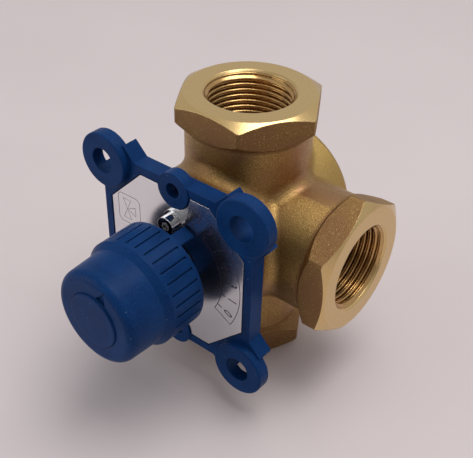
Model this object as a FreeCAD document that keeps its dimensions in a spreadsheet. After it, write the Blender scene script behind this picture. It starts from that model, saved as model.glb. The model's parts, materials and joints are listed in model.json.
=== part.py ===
import FreeCAD, Part
import math
import os
import Sketcher

# Rotary three-way mixing valve, millimetres.
# The origin is the middle of the bottom port's mouth, +Z is up, the side port points along +X
# and the spindle with its knob points along -Y. The port axes and the spindle axis cross
# at the height port_reach.

SHEET = "Sizes"
SQRT_TWO = math.sqrt(2.0)
SQRT_THREE = math.sqrt(3.0)
FULL_TURN = 360.0
QUARTER_TURN = 90.0
HALF_TURN = 180.0
HEX_SIDES = 6
SOCKET_TURN = 15.0

# Driving dimensions
SIZES = {
    # Ports with parallel female pipe thread, one inch
    "port_reach": 54.0,
    "thread_major_radius": 16.62,
    "thread_depth": 19.0,
    "thread_runout": 2.0,
    "mouth_chamfer": 0.8,
    "waterway_radius": 13.0,
    "neck_wall": 7.38,
    "hex_across_flats": 50.0,
    "hex_corner_trim": 0.3,
    "hex_corner_round": 1.6,
    "hex_face_step": 0.8,
    "hex_corner_drop": 2.5,
    "hex_length": 8.0,
    "hex_shoulder": 3.8,
    # Barrel of the casting
    "barrel_step": 6.0,
    "chamber_back": 23.0,
    "back_wall": 7.0,
    "barrel_wall": 3.0,
    "barrel_edge_round": 3.0,
    "cast_blend": 4.5,
    # Bonnet and its seal
    "bonnet_seat": 24.0,
    "bonnet_seat_width": 2.0,
    "bonnet_length": 13.5,
    "bonnet_o_ring_section": 2.0,
    "bonnet_o_ring_lead": 2.0,
    # Spindle, its bearings and seals
    "spindle_radius": 5.0,
    "running_clearance": 0.05,
    "bush_wall": 1.95,
    "bush_length": 6.5,
    "spindle_o_ring_section": 1.4,
    "spindle_o_ring_lead": 1.2,
    "spindle_o_ring_pitch": 2.9,
    "groove_play": 0.3,
    "flange_radius": 8.0,
    "flange_thickness": 2.0,
    "thrust_washer_thickness": 1.0,
    "thrust_washer_radius": 9.0,
    "retaining_ring_thickness": 1.0,
    "retaining_ring_radius": 7.5,
    "retaining_groove_depth": 0.8,
    "ring_play": 0.15,
    "spindle_flat_depth": 1.2,
    "tongue_width": 4.0,
    "tongue_length": 12.0,
    "tongue_depth": 3.8,
    # Rotor
    "rotor_clearance": 0.3,
    "rotor_wall": 4.0,
    "rotor_sector_angle": 84.0,
    "rotor_disc_step": 2.2,
    "rotor_disc_thickness": 4.0,
    "rotor_end_play": 0.2,
    "rear_bush_wall": 1.45,
    "rear_bush_length": 5.0,
    # Mounting plate
    "rim_gap": 1.8,
    "rim_wall": 3.2,
    "rim_overlap": 2.5,
    "plate_floor": 3.0,
    "ear_pitch": 64.0,
    "ear_radius": 10.8,
    "ear_hole_radius": 5.0,
    "ear_thickness": 5.0,
    "ear_proud": 2.8,
    "ear_edge_round": 0.7,
    "corner_block_width": 23.3,
    "mid_boss_radius": 6.9,
    "mid_boss_inset": 3.3,
    "mid_boss_proud": 0.5,
    "mid_boss_hole_radius": 3.0,
    "hub_hole_radius": 9.5,
    # Scale plate
    "scale_thickness": 1.0,
    "scale_gap": 0.6,
    "scale_corner_cut": 15.2,
    "rim_lip": 0.1,
    # Plate screws and washers
    "plate_screw_circle": 19.0,
    "screw_radius": 2.0,
    "screw_head_radius": 3.5,
    "screw_head_height": 4.0,
    "screw_socket_flats": 3.0,
    "screw_socket_depth": 2.0,
    "screw_length": 12.0,
    "screw_hole_play": 0.25,
    "thread_play": 0.05,
    "thread_tail": 1.0,
    "washer_radius": 4.5,
    "washer_thickness": 0.8,
    # Knob
    "knob_gap": 8.2,
    "knob_ring_radius": 20.7,
    "knob_ring_length": 14.9,
    "knob_shoulder_length": 2.6,
    "knob_body_radius": 18.7,
    "knob_body_length": 14.8,
    "knob_body_taper": 0.7,
    "knob_front_round": 3.2,
    "knob_wall": 2.4,
    "knob_hub_radius": 8.5,
    "knob_hub_gap": 1.5,
    "knob_front_wall": 5.0,
    "knob_groove_count": 30,
    "knob_groove_width": 0.9,
    "knob_groove_depth": 0.8,
    "knob_groove_margin": 1.3,
    "pointer_angle": 67.5,
    "stop_tab_spread": 135.0,
    "tab_width": 5.0,
    "tab_gap": 0.8,
    "arrow_length": 5.6,
    "arrow_width": 4.6,
    "arrow_depth": 0.9,
    "arrow_rim": 1.6,
    "cap_radius": 10.5,
    "cap_play": 0.1,
    "cap_seat_depth": 2.6,
    "cap_proud": 0.7,
    "cap_edge_round": 0.6,
    # Knob screw and its washer
    "knob_screw_well_radius": 4.6,
    "knob_screw_web": 2.0,
    "knob_screw_well_depth": 6.2,
    "knob_screw_length": 14.0,
    "knob_screw_head_radius": 3.6,
    "knob_screw_head_height": 2.6,
    "knob_washer_thickness": 0.5,
    "spindle_end_gap": 0.2,
}


class Size:
    """A length that is both an expression on the sheet and its present value."""

    def __init__(self, text, value):
        self.text = text
        self.value = value

    @staticmethod
    def of(other):
        return other if isinstance(other, Size) else Size(repr(float(other)), float(other))

    def __add__(self, other):
        other = Size.of(other)
        return Size(f"({self.text} + {other.text})", self.value + other.value)

    def __sub__(self, other):
        other = Size.of(other)
        return Size(f"({self.text} - {other.text})", self.value - other.value)

    def __mul__(self, other):
        other = Size.of(other)
        return Size(f"({self.text} * {other.text})", self.value * other.value)

    def __truediv__(self, other):
        other = Size.of(other)
        return Size(f"({self.text} / {other.text})", self.value / other.value)

    def __neg__(self):
        return Size(f"(0 - {self.text})", -self.value)

    def cosine(self):
        return Size(f"cos({self.text} * 1 deg)", math.cos(math.radians(self.value)))

    def sine(self):
        return Size(f"sin({self.text} * 1 deg)", math.sin(math.radians(self.value)))


class Sizes:
    """The driving dimensions as attributes, each bound to its cell on the sheet."""

    def __init__(self, document, values):
        sheet = document.addObject("Spreadsheet::Sheet", SHEET)
        for row, (name, value) in enumerate(values.items(), start=1):
            sheet.set(f"A{row}", name)
            sheet.set(f"B{row}", str(value))
            sheet.setAlias(f"B{row}", name)
            setattr(self, name, Size(f"{SHEET}.{name}", float(value)))
        document.recompute()


doc = FreeCAD.newDocument("MixingValve")
s = Sizes(doc, SIZES)
ZERO = Size.of(0.0)

# Sizes that follow from the driving dimensions

neck_radius = s.thread_major_radius + s.neck_wall
hex_flat_radius = s.hex_across_flats / 2
hex_point_radius = s.hex_across_flats / SQRT_THREE
hex_root = s.port_reach - s.hex_length - s.hex_shoulder

barrel_radius = neck_radius + s.barrel_step
bonnet_radius = barrel_radius - s.barrel_wall
chamber_radius = bonnet_radius - s.bonnet_seat_width
barrel_back = s.chamber_back + s.back_wall
barrel_front = s.bonnet_seat + s.bonnet_length

spindle_bore = s.spindle_radius + s.running_clearance
bush_radius = spindle_bore + s.bush_wall
rear_bush_radius = spindle_bore + s.rear_bush_wall

floor_front = barrel_front + s.plate_floor
scale_front = floor_front + s.scale_thickness
rim_front = scale_front + s.rim_lip
rim_back = barrel_front - s.rim_overlap
rim_inner = barrel_radius + s.rim_gap
plate_half = rim_inner + s.rim_wall
scale_half = rim_inner - s.scale_gap
ear_half = s.ear_pitch / 2
ear_front = rim_front + s.ear_proud
mid_boss_height = plate_half - s.mid_boss_inset
screw_hole_radius = s.screw_radius + s.screw_hole_play
threaded_hole_radius = s.screw_radius + s.thread_play

washer_front = scale_front + s.washer_thickness
knob_back = scale_front + s.knob_gap
knob_ring_front = knob_back + s.knob_ring_length
knob_shoulder_front = knob_ring_front + s.knob_shoulder_length
knob_front = knob_shoulder_front + s.knob_body_length
knob_front_radius = s.knob_body_radius - s.knob_body_taper
hub_back = scale_front + s.knob_hub_gap
cap_seat = knob_front - s.cap_seat_depth
well_floor = cap_seat - s.knob_screw_well_depth
hub_web_back = well_floor - s.knob_screw_web
spindle_end = hub_web_back - s.spindle_end_gap
spindle_inner_end = s.bonnet_seat - s.thrust_washer_thickness - s.flange_thickness
rotor_front_face = spindle_inner_end - s.rotor_end_play
rotor_radius = chamber_radius - s.rotor_clearance
rotor_disc_radius = rotor_radius - s.rotor_disc_step


# Ways of making the document's objects

def bind(thing, **properties):
    """Bind each named property to the expression of its size."""
    for name, size in properties.items():
        thing.setExpression(name, Size.of(size).text)


def turn(axis, angle):
    """A placement that only turns."""
    return FreeCAD.Placement(FreeCAD.Vector(), FreeCAD.Rotation(FreeCAD.Vector(*axis), angle))


def seat(thing, x=ZERO, y=ZERO, z=ZERO):
    """Bind the place of an object, measured from the crossing of the axes."""
    thing.setExpression("Placement.Base.x", x.text)
    thing.setExpression("Placement.Base.y", y.text)
    thing.setExpression("Placement.Base.z", (s.port_reach + z).text)
    return thing


def new_body(label):
    """An empty body whose origin lies at the crossing of the axes."""
    body = doc.addObject("PartDesign::Body", label)
    return seat(body)


def sketch_on(body, role, name, height=None):
    """A sketch on one of the body's origin planes, lifted along the plane's normal."""
    plane = next(item for item in body.Origin.OriginFeatures if item.Role == role)
    sketch = body.newObject("Sketcher::SketchObject", name)
    sketch.AttachmentSupport = [(plane, "")]
    sketch.MapMode = "FlatFace"
    if height is not None:
        sketch.setExpression("AttachmentOffset.Base.z", height.text)
    return sketch


def constrain(sketch, kind, places, size):
    """Add a constraint whose value follows the size."""
    index = sketch.addConstraint(Sketcher.Constraint(kind, *places, size.value))
    sketch.setExpression(f"Constraints[{index}]", size.text)


def pin_point(sketch, edge, end, x, y):
    """Hold one point of a sketch edge at its two coordinates."""
    for kind, axis, size in (("DistanceX", -2, x), ("DistanceY", -1, y)):
        if size is ZERO:
            sketch.addConstraint(Sketcher.Constraint("PointOnObject", edge, end, axis))
        else:
            constrain(sketch, kind, (edge, end), size)


def draw_polygon(sketch, corners):
    """A closed outline of straight edges through the corners."""
    first = sketch.GeometryCount
    points = [FreeCAD.Vector(x.value, y.value, 0) for x, y in corners]
    for start, end in zip(points, points[1:] + points[:1]):
        sketch.addGeometry(Part.LineSegment(start, end), False)
    for number in range(len(corners)):
        following = first + (number + 1) % len(corners)
        sketch.addConstraint(Sketcher.Constraint("Coincident", first + number, 2, following, 1))
    for number, (x, y) in enumerate(corners):
        pin_point(sketch, first + number, 1, x, y)


def draw_circle(sketch, x, y, radius):
    """A circle held by its middle and radius."""
    middle = FreeCAD.Vector(x.value, y.value, 0)
    edge = sketch.addGeometry(Part.Circle(middle, FreeCAD.Vector(0, 0, 1), radius.value), False)
    pin_point(sketch, edge, 3, x, y)
    constrain(sketch, "Radius", (edge,), radius)


def pad(body, sketch, name, length, both_ways=False):
    """Pad a sketch of the body, to one side or to both."""
    feature = body.newObject("PartDesign::Pad", name)
    feature.Profile = sketch
    feature.Midplane = both_ways
    bind(feature, Length=length * 2 if both_ways else length)
    sketch.Visibility = False
    return feature


def revolve(body, outline, name="Turned"):
    """Turn an outline of (radius, along the Y axis) about the Y axis."""
    sketch = sketch_on(body, "XY_Plane", f"{name}Outline")
    draw_polygon(sketch, outline)
    feature = body.newObject("PartDesign::Revolution", name)
    feature.Profile = sketch
    feature.ReferenceAxis = (sketch, ["V_Axis"])
    feature.Angle = FULL_TURN
    sketch.Visibility = False
    return feature


def turned(label, outline):
    """A body that is one turned outline."""
    body = new_body(label)
    revolve(body, outline)
    return body


def extrude(body, name, back, front, draw):
    """Pad what draw puts in a sketch, from one distance in front of the axes to another."""
    sketch = sketch_on(body, "XZ_Plane", f"{name}Outline", back)
    draw(sketch)
    return pad(body, sketch, name, front - back)


def carve(body, name, front, depth, draw):
    """Pocket what draw puts in a sketch, from a plane in front of the axes backwards."""
    sketch = sketch_on(body, "XZ_Plane", f"{name}Outline", front)
    draw(sketch)
    doc.recompute()
    before = body.Shape.Volume
    pocket = body.newObject("PartDesign::Pocket", name)
    pocket.Profile = sketch
    bind(pocket, Length=depth)
    sketch.Visibility = False
    doc.recompute()
    if not body.Shape.Volume < before:
        raise RuntimeError(f"{name} cuts nothing")
    return pocket


def round_off(body, name, base, size, chosen):
    """Round those edges of the base that the choice picks."""
    doc.recompute()
    edges = enumerate(base.Shape.Edges, start=1)
    fillet = body.newObject("PartDesign::Fillet", name)
    fillet.Base = (base, [f"Edge{number}" for number, edge in edges if chosen(edge)])
    bind(fillet, Radius=size)
    return fillet


def round_edges(body, name, base, radius, front, size):
    """Round the circular edges of a radius that lie a distance in front of the axes."""
    def chosen(edge):
        if not isinstance(edge.Curve, Part.Circle):
            return False
        same_radius = math.isclose(edge.Curve.Radius, radius.value, abs_tol=0.01)
        return same_radius and math.isclose(edge.Curve.Center.y, -front.value, abs_tol=0.01)

    return round_off(body, name, base, size, chosen)


def fused(name, pieces):
    """One shape of several pieces."""
    result = doc.addObject("Part::MultiFuse", name)
    result.Shapes = pieces
    return result


def cut(name, base, tool):
    """The base less the tool."""
    result = doc.addObject("Part::Cut", name)
    result.Base = base
    result.Tool = tool
    return result


def group(label, pieces):
    """Several separate solids that share one node."""
    result = doc.addObject("Part::Compound", label)
    result.Links = pieces
    return result


def polar(radius, offset, angle):
    """A point at a radius along a direction, moved sideways by an offset."""
    along = angle.cosine()
    across = angle.sine()
    return radius * along - offset * across, radius * across + offset * along


# The casting

PORTS = {
    "Top": (turn((1, 0, 0), QUARTER_TURN), turn((0, 0, 1), 0.0)),
    "Bottom": (turn((1, 0, 0), -QUARTER_TURN), turn((1, 0, 0), HALF_TURN)),
    "Side": (turn((0, 0, 1), -QUARTER_TURN), turn((0, 1, 0), QUARTER_TURN)),
}


def port_hexagon(name, along_y, along_z):
    """Spanner hexagon of a port, coned at its machined face and at its root."""
    envelope_radius = hex_point_radius - s.hex_corner_trim
    buried = (envelope_radius - neck_radius) / 4
    envelope = turned(f"{name}HexEnvelope", [
        (ZERO, hex_root - s.hex_shoulder / 4),
        (neck_radius - buried, hex_root - s.hex_shoulder / 4),
        (envelope_radius, s.port_reach - s.hex_length),
        (envelope_radius, s.port_reach - s.hex_corner_drop),
        (hex_flat_radius - s.hex_face_step, s.port_reach),
        (ZERO, s.port_reach),
    ])
    envelope.Placement = along_y
    seat(envelope)
    prism = new_body(f"{name}HexPrism")
    sketch = sketch_on(prism, "XY_Plane", f"{name}HexOutline")
    draw_polygon(sketch, [
        (hex_point_radius, ZERO),
        (hex_point_radius / 2, hex_flat_radius),
        (-(hex_point_radius / 2), hex_flat_radius),
        (-hex_point_radius, ZERO),
        (-(hex_point_radius / 2), -hex_flat_radius),
        (hex_point_radius / 2, -hex_flat_radius),
    ])
    block = pad(prism, sketch, f"{name}HexBlock", s.port_reach)
    round_off(prism, f"{name}HexRound", block, s.hex_corner_round,
              lambda edge: math.isclose(edge.Length, s.port_reach.value))
    prism.Placement = along_z
    seat(prism)
    hexagon = doc.addObject("Part::Common", f"{name}Hexagon")
    hexagon.Base = prism
    hexagon.Tool = envelope
    return hexagon


def port_bore(name, along_y):
    """Threaded mouth and waterway of a port, as the space to be cut."""
    thread_end = s.port_reach - s.thread_depth
    mouth_radius = s.thread_major_radius + s.mouth_chamfer
    beyond = s.port_reach + s.mouth_chamfer
    bore = turned(f"{name}Bore", [
        (ZERO, ZERO),
        (s.waterway_radius, ZERO),
        (s.waterway_radius, thread_end - s.thread_runout),
        (s.thread_major_radius, thread_end),
        (s.thread_major_radius, s.port_reach - s.mouth_chamfer),
        (mouth_radius, s.port_reach),
        (mouth_radius, beyond),
        (ZERO, beyond),
    ])
    bore.Placement = along_y
    return seat(bore)


def make_barrel(neck_end):
    """Barrel and the three round necks, blended into each other as a casting is."""
    barrel = new_body("Barrel")
    barrel_turned = revolve(barrel, [
        (ZERO, -barrel_front),
        (barrel_radius, -barrel_front),
        (barrel_radius, barrel_back),
        (ZERO, barrel_back),
    ])
    round_edges(barrel, "BarrelRound", barrel_turned, barrel_radius, -barrel_back, s.barrel_edge_round)
    for name, plane, both_ways in (("UprightNecks", "XY_Plane", True), ("SideNeck", "YZ_Plane", False)):
        sketch = sketch_on(barrel, plane, f"{name}Outline")
        draw_circle(sketch, ZERO, ZERO, neck_radius)
        necks = pad(barrel, sketch, name, neck_end, both_ways)
    round_off(barrel, "CastBlend", necks, s.cast_blend,
              lambda edge: not isinstance(edge.Curve, (Part.Circle, Part.Line)))
    return barrel


def make_valve_body():
    """Barrel with three hex ports, hollow, closed at the back."""
    neck_end = hex_root + s.hex_shoulder / 2
    outside = [make_barrel(neck_end)]
    inside = [turned("Chamber", [
        (ZERO, s.chamber_back + s.rear_bush_length),
        (rear_bush_radius, s.chamber_back + s.rear_bush_length),
        (rear_bush_radius, s.chamber_back),
        (chamber_radius, s.chamber_back),
        (chamber_radius, -s.bonnet_seat),
        (bonnet_radius, -s.bonnet_seat),
        (bonnet_radius, -(barrel_front + s.barrel_wall)),
        (ZERO, -(barrel_front + s.barrel_wall)),
    ])]
    for name, (along_y, along_z) in PORTS.items():
        outside.append(port_hexagon(name, along_y, along_z))
        inside.append(port_bore(name, along_y))
    return cut("valve_body", fused("CastOutside", outside), fused("CastInside", inside))


# Bonnet, spindle and rotor

def make_bonnet():
    """Turned brass cover with the spindle's bore, its seal groove and two tapped holes."""
    groove_floor = bonnet_radius - s.bonnet_o_ring_section
    groove_back = s.bonnet_seat + s.bonnet_o_ring_lead
    groove_front = groove_back + s.bonnet_o_ring_section + s.groove_play
    bush_seat = barrel_front - s.bush_length
    bonnet = turned("bonnet", [
        (spindle_bore, -s.bonnet_seat),
        (bonnet_radius, -s.bonnet_seat),
        (bonnet_radius, -groove_back),
        (groove_floor, -groove_back),
        (groove_floor, -groove_front),
        (bonnet_radius, -groove_front),
        (bonnet_radius, -barrel_front),
        (bush_radius, -barrel_front),
        (bush_radius, -bush_seat),
        (spindle_bore, -bush_seat),
    ])

    def tapped_holes(sketch):
        for height in (s.plate_screw_circle, -s.plate_screw_circle):
            draw_circle(sketch, ZERO, height, threaded_hole_radius)

    hole_depth = s.screw_length - (washer_front - barrel_front) + s.thread_tail
    carve(bonnet, "TappedHoles", barrel_front, hole_depth, tapped_holes)
    return bonnet


def make_o_ring(label, ring_radius, section, front):
    """A seal ring about the spindle axis, its middle a distance in front of the axes."""
    ring = doc.addObject("Part::Torus", label)
    bind(ring, Radius1=ring_radius, Radius2=section / 2)
    ring.Placement = turn((1, 0, 0), QUARTER_TURN)
    return seat(ring, y=-front)


def make_bonnet_o_ring():
    section = s.bonnet_o_ring_section
    middle = s.bonnet_seat + s.bonnet_o_ring_lead + (section + s.groove_play) / 2
    return make_o_ring("bonnet_o_ring", bonnet_radius - section / 2, section, middle)


def spindle_groove_back(number):
    """Where a spindle seal groove starts, the first one nearest the water."""
    return s.bonnet_seat + s.spindle_o_ring_lead + s.spindle_o_ring_pitch * number


def make_spindle_o_ring(label, number):
    section = s.spindle_o_ring_section
    middle = spindle_groove_back(number) + (section + s.groove_play) / 2
    return make_o_ring(label, s.spindle_radius - section / 2, section, middle)


def ring(label, inner, outer, back, thickness):
    """A flat ring about the spindle axis."""
    return turned(label, [
        (inner, -back),
        (outer, -back),
        (outer, -(back + thickness)),
        (inner, -(back + thickness)),
    ])


def make_retaining_ring():
    inner = s.spindle_radius - s.retaining_groove_depth + s.running_clearance
    back = barrel_front + s.ring_play
    circlip = ring("retaining_ring", inner, s.retaining_ring_radius, back, s.retaining_ring_thickness)

    def mouth(sketch):
        half = s.spindle_radius / 2
        draw_polygon(sketch, [
            (-half, ZERO),
            (half, ZERO),
            (half, -s.retaining_ring_radius - s.ring_play),
            (-half, -s.retaining_ring_radius - s.ring_play),
        ])

    front = back + s.retaining_ring_thickness
    carve(circlip, "Mouth", front + s.ring_play, s.retaining_ring_thickness + s.ring_play * 2, mouth)
    return circlip


def make_spindle():
    """Turned shaft: tongue, flange, two seal grooves, ring groove, flat and tapped end."""
    seal_floor = s.spindle_radius - s.spindle_o_ring_section
    seal_width = s.spindle_o_ring_section + s.groove_play
    outline = [
        (ZERO, -spindle_inner_end),
        (s.flange_radius, -spindle_inner_end),
        (s.flange_radius, -(spindle_inner_end + s.flange_thickness)),
        (s.spindle_radius, -(spindle_inner_end + s.flange_thickness)),
    ]

    def add_groove(back, front, floor):
        outline.extend([
            (s.spindle_radius, -back),
            (floor, -back),
            (floor, -front),
            (s.spindle_radius, -front),
        ])

    for number in range(2):
        back = spindle_groove_back(number)
        add_groove(back, back + seal_width, seal_floor)
    ring_groove_front = barrel_front + s.retaining_ring_thickness + s.ring_play * 2
    add_groove(barrel_front, ring_groove_front, s.spindle_radius - s.retaining_groove_depth)
    tap_floor = well_floor + s.knob_washer_thickness - s.knob_screw_length - s.thread_tail
    outline.extend([
        (s.spindle_radius, -spindle_end),
        (threaded_hole_radius, -spindle_end),
        (threaded_hole_radius, -tap_floor),
        (ZERO, -tap_floor),
    ])
    spindle = turned("spindle", outline)

    def tongue(sketch):
        draw_rectangle(sketch, s.tongue_length, s.tongue_width)

    extrude(spindle, "Tongue", spindle_inner_end - s.tongue_depth, spindle_inner_end, tongue)

    def flat(sketch):
        inside = s.spindle_radius - s.spindle_flat_depth
        outside = s.spindle_radius + s.spindle_flat_depth
        draw_polygon(sketch, [
            (-outside, inside),
            (outside, inside),
            (outside, outside),
            (-outside, outside),
        ])

    carve(spindle, "Flat", spindle_end + s.thread_tail, spindle_end + s.thread_tail - hub_back, flat)
    return spindle


def draw_rectangle(sketch, width, height):
    """A rectangle about the sketch's origin."""
    draw_polygon(sketch, [
        (-(width / 2), -(height / 2)),
        (width / 2, -(height / 2)),
        (width / 2, height / 2),
        (-(width / 2), height / 2),
    ])


def make_rotor():
    """Sector that slides along the chamber wall, between two discs, with a rear trunnion."""
    rotor = new_body("rotor")
    sector_front = s.bonnet_seat - s.thrust_washer_thickness - s.rotor_end_play
    sector_back = s.chamber_back - s.rotor_end_play
    sketch = sketch_on(rotor, "YZ_Plane", "SectorOutline")
    draw_polygon(sketch, [
        (-sector_front, rotor_radius - s.rotor_wall),
        (sector_back, rotor_radius - s.rotor_wall),
        (sector_back, rotor_radius),
        (-sector_front, rotor_radius),
    ])
    sector = rotor.newObject("PartDesign::Revolution", "Sector")
    sector.Profile = sketch
    sector.ReferenceAxis = (sketch, ["H_Axis"])
    sector.Midplane = True
    bind(sector, Angle=s.rotor_sector_angle)
    sketch.Visibility = False
    revolve(rotor, [
        (ZERO, -rotor_front_face),
        (rotor_disc_radius, -rotor_front_face),
        (rotor_disc_radius, -(rotor_front_face - s.rotor_disc_thickness)),
        (ZERO, -(rotor_front_face - s.rotor_disc_thickness)),
    ], "FrontDisc")
    trunnion_end = s.chamber_back + s.rear_bush_length - s.rotor_end_play
    revolve(rotor, [
        (ZERO, sector_back - s.rotor_disc_thickness),
        (rotor_disc_radius, sector_back - s.rotor_disc_thickness),
        (rotor_disc_radius, sector_back),
        (s.spindle_radius, sector_back),
        (s.spindle_radius, trunnion_end),
        (ZERO, trunnion_end),
    ], "RearDisc")

    def slot(sketch):
        play = s.running_clearance * 2
        draw_rectangle(sketch, s.tongue_length + play, s.tongue_width + play)

    slot_depth = s.rotor_disc_thickness + s.rotor_end_play * 2
    carve(rotor, "DriveSlot", rotor_front_face + s.rotor_end_play, slot_depth, slot)
    return rotor


def make_rear_bush():
    return turned("rear_bush", [
        (spindle_bore, s.chamber_back),
        (rear_bush_radius, s.chamber_back),
        (rear_bush_radius, s.chamber_back + s.rear_bush_length),
        (spindle_bore, s.chamber_back + s.rear_bush_length),
    ])


# Mounting plate and scale plate

CORNERS = [(1, 1), (-1, 1), (-1, -1), (1, -1)]


def cut_square(half, shorter):
    """Corners of a square whose own corners are cut at 45 degrees."""
    points = []
    for sign_x, sign_z in CORNERS:
        on_side = (half * sign_x, shorter * sign_z)
        on_end = (shorter * sign_x, half * sign_z)
        points.extend([on_side, on_end] if sign_x == sign_z else [on_end, on_side])
    return points


def corner_block(sign_x, sign_z):
    """Outline of the block behind an ear: a rectangle square to the plate's diagonal."""
    scale_line = (scale_half * 2 - s.scale_corner_cut + s.scale_gap) / SQRT_TWO
    ear_line = s.ear_pitch / SQRT_TWO
    half_width = s.corner_block_width / 2
    corners = [
        (scale_line, -half_width),
        (ear_line, -half_width),
        (ear_line, half_width),
        (scale_line, half_width),
    ]
    points = []
    for along, across in corners:
        points.append(((along - across) / SQRT_TWO * sign_x, (along + across) / SQRT_TWO * sign_z))
    return points


def make_mounting_plate():
    """Moulded plate: rim, floor, four corner blocks with round ears and two small bosses."""
    plate = new_body("mounting_plate")
    rim_cut = s.ear_pitch - plate_half

    def floor(sketch):
        draw_polygon(sketch, cut_square(plate_half, rim_cut))
        draw_circle(sketch, ZERO, ZERO, s.hub_hole_radius)

    extrude(plate, "Floor", barrel_front, floor_front, floor)

    def rim(sketch):
        draw_polygon(sketch, cut_square(plate_half, rim_cut))
        draw_polygon(sketch, cut_square(rim_inner, rim_cut - s.rim_wall))

    extrude(plate, "Rim", rim_back, rim_front, rim)
    for number, (sign_x, sign_z) in enumerate(CORNERS, start=1):
        outline = corner_block(sign_x, sign_z)
        extrude(plate, f"CornerBlock{number}", rim_back, rim_front,
                lambda sketch, points=outline: draw_polygon(sketch, points))
    for name, sign in (("UpperBoss", 1), ("LowerBoss", -1)):
        extrude(plate, name, barrel_front, rim_front + s.mid_boss_proud,
                lambda sketch, z=mid_boss_height * sign: draw_circle(sketch, ZERO, z, s.mid_boss_radius))
    for number, (sign_x, sign_z) in enumerate(CORNERS, start=1):
        ear = extrude(plate, f"Ear{number}", ear_front - s.ear_thickness, ear_front,
                      lambda sketch, x=ear_half * sign_x, z=ear_half * sign_z:
                      draw_circle(sketch, x, z, s.ear_radius))
    round_edges(plate, "EarRound", ear, s.ear_radius, ear_front, s.ear_edge_round)

    def holes(sketch):
        for sign_x, sign_z in CORNERS:
            draw_circle(sketch, ear_half * sign_x, ear_half * sign_z, s.ear_hole_radius)
        for sign in (1, -1):
            draw_circle(sketch, ZERO, mid_boss_height * sign, s.mid_boss_hole_radius)
            draw_circle(sketch, ZERO, s.plate_screw_circle * sign, screw_hole_radius)

    carve(plate, "Holes", ear_front + s.ear_proud, ear_front + s.ear_proud - rim_back + s.rim_gap, holes)
    return plate


def make_scale_plate():
    """Thin sheet plate with cut corners, cleared round the bosses, the screws and the hub."""
    plate = new_body("scale_plate")
    short_half = scale_half - s.scale_corner_cut
    extrude(plate, "Sheet", floor_front, scale_front,
            lambda sketch: draw_polygon(sketch, cut_square(scale_half, short_half)))

    def holes(sketch):
        draw_circle(sketch, ZERO, ZERO, s.hub_hole_radius)
        for sign in (1, -1):
            draw_circle(sketch, ZERO, mid_boss_height * sign, s.mid_boss_radius + s.scale_gap)
            draw_circle(sketch, ZERO, s.plate_screw_circle * sign, screw_hole_radius)

    carve(plate, "Openings", scale_front + s.scale_gap, s.scale_thickness + s.scale_gap * 2, holes)
    return plate


# Screws and washers of the plate

def plate_screw(name, sign):
    """Socket head screw with its head in front of the washer."""
    screw = turned(name, [
        (ZERO, -(washer_front - s.screw_length)),
        (s.screw_radius, -(washer_front - s.screw_length)),
        (s.screw_radius, -washer_front),
        (s.screw_head_radius, -washer_front),
        (s.screw_head_radius, -(washer_front + s.screw_head_height)),
        (ZERO, -(washer_front + s.screw_head_height)),
    ])

    def socket(sketch):
        corner_radius = s.screw_socket_flats / SQRT_THREE
        corners = []
        for number in range(HEX_SIDES):
            angle = math.radians(SOCKET_TURN + FULL_TURN / HEX_SIDES * number)
            corners.append((corner_radius * math.cos(angle), corner_radius * math.sin(angle)))
        draw_polygon(sketch, corners)

    carve(screw, f"{name}Socket", washer_front + s.screw_head_height, s.screw_socket_depth, socket)
    return seat(screw, z=s.plate_screw_circle * sign)


def plate_washer(name, sign):
    washer = ring(name, screw_hole_radius, s.washer_radius, scale_front, s.washer_thickness)
    return seat(washer, z=s.plate_screw_circle * sign)


def make_plate_screws():
    return group("plate_screws", [plate_screw("UpperScrew", 1), plate_screw("LowerScrew", -1)])


def make_plate_washers():
    return group("plate_washers", [plate_washer("UpperWasher", 1), plate_washer("LowerWasher", -1)])


# Knob and what holds it

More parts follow.
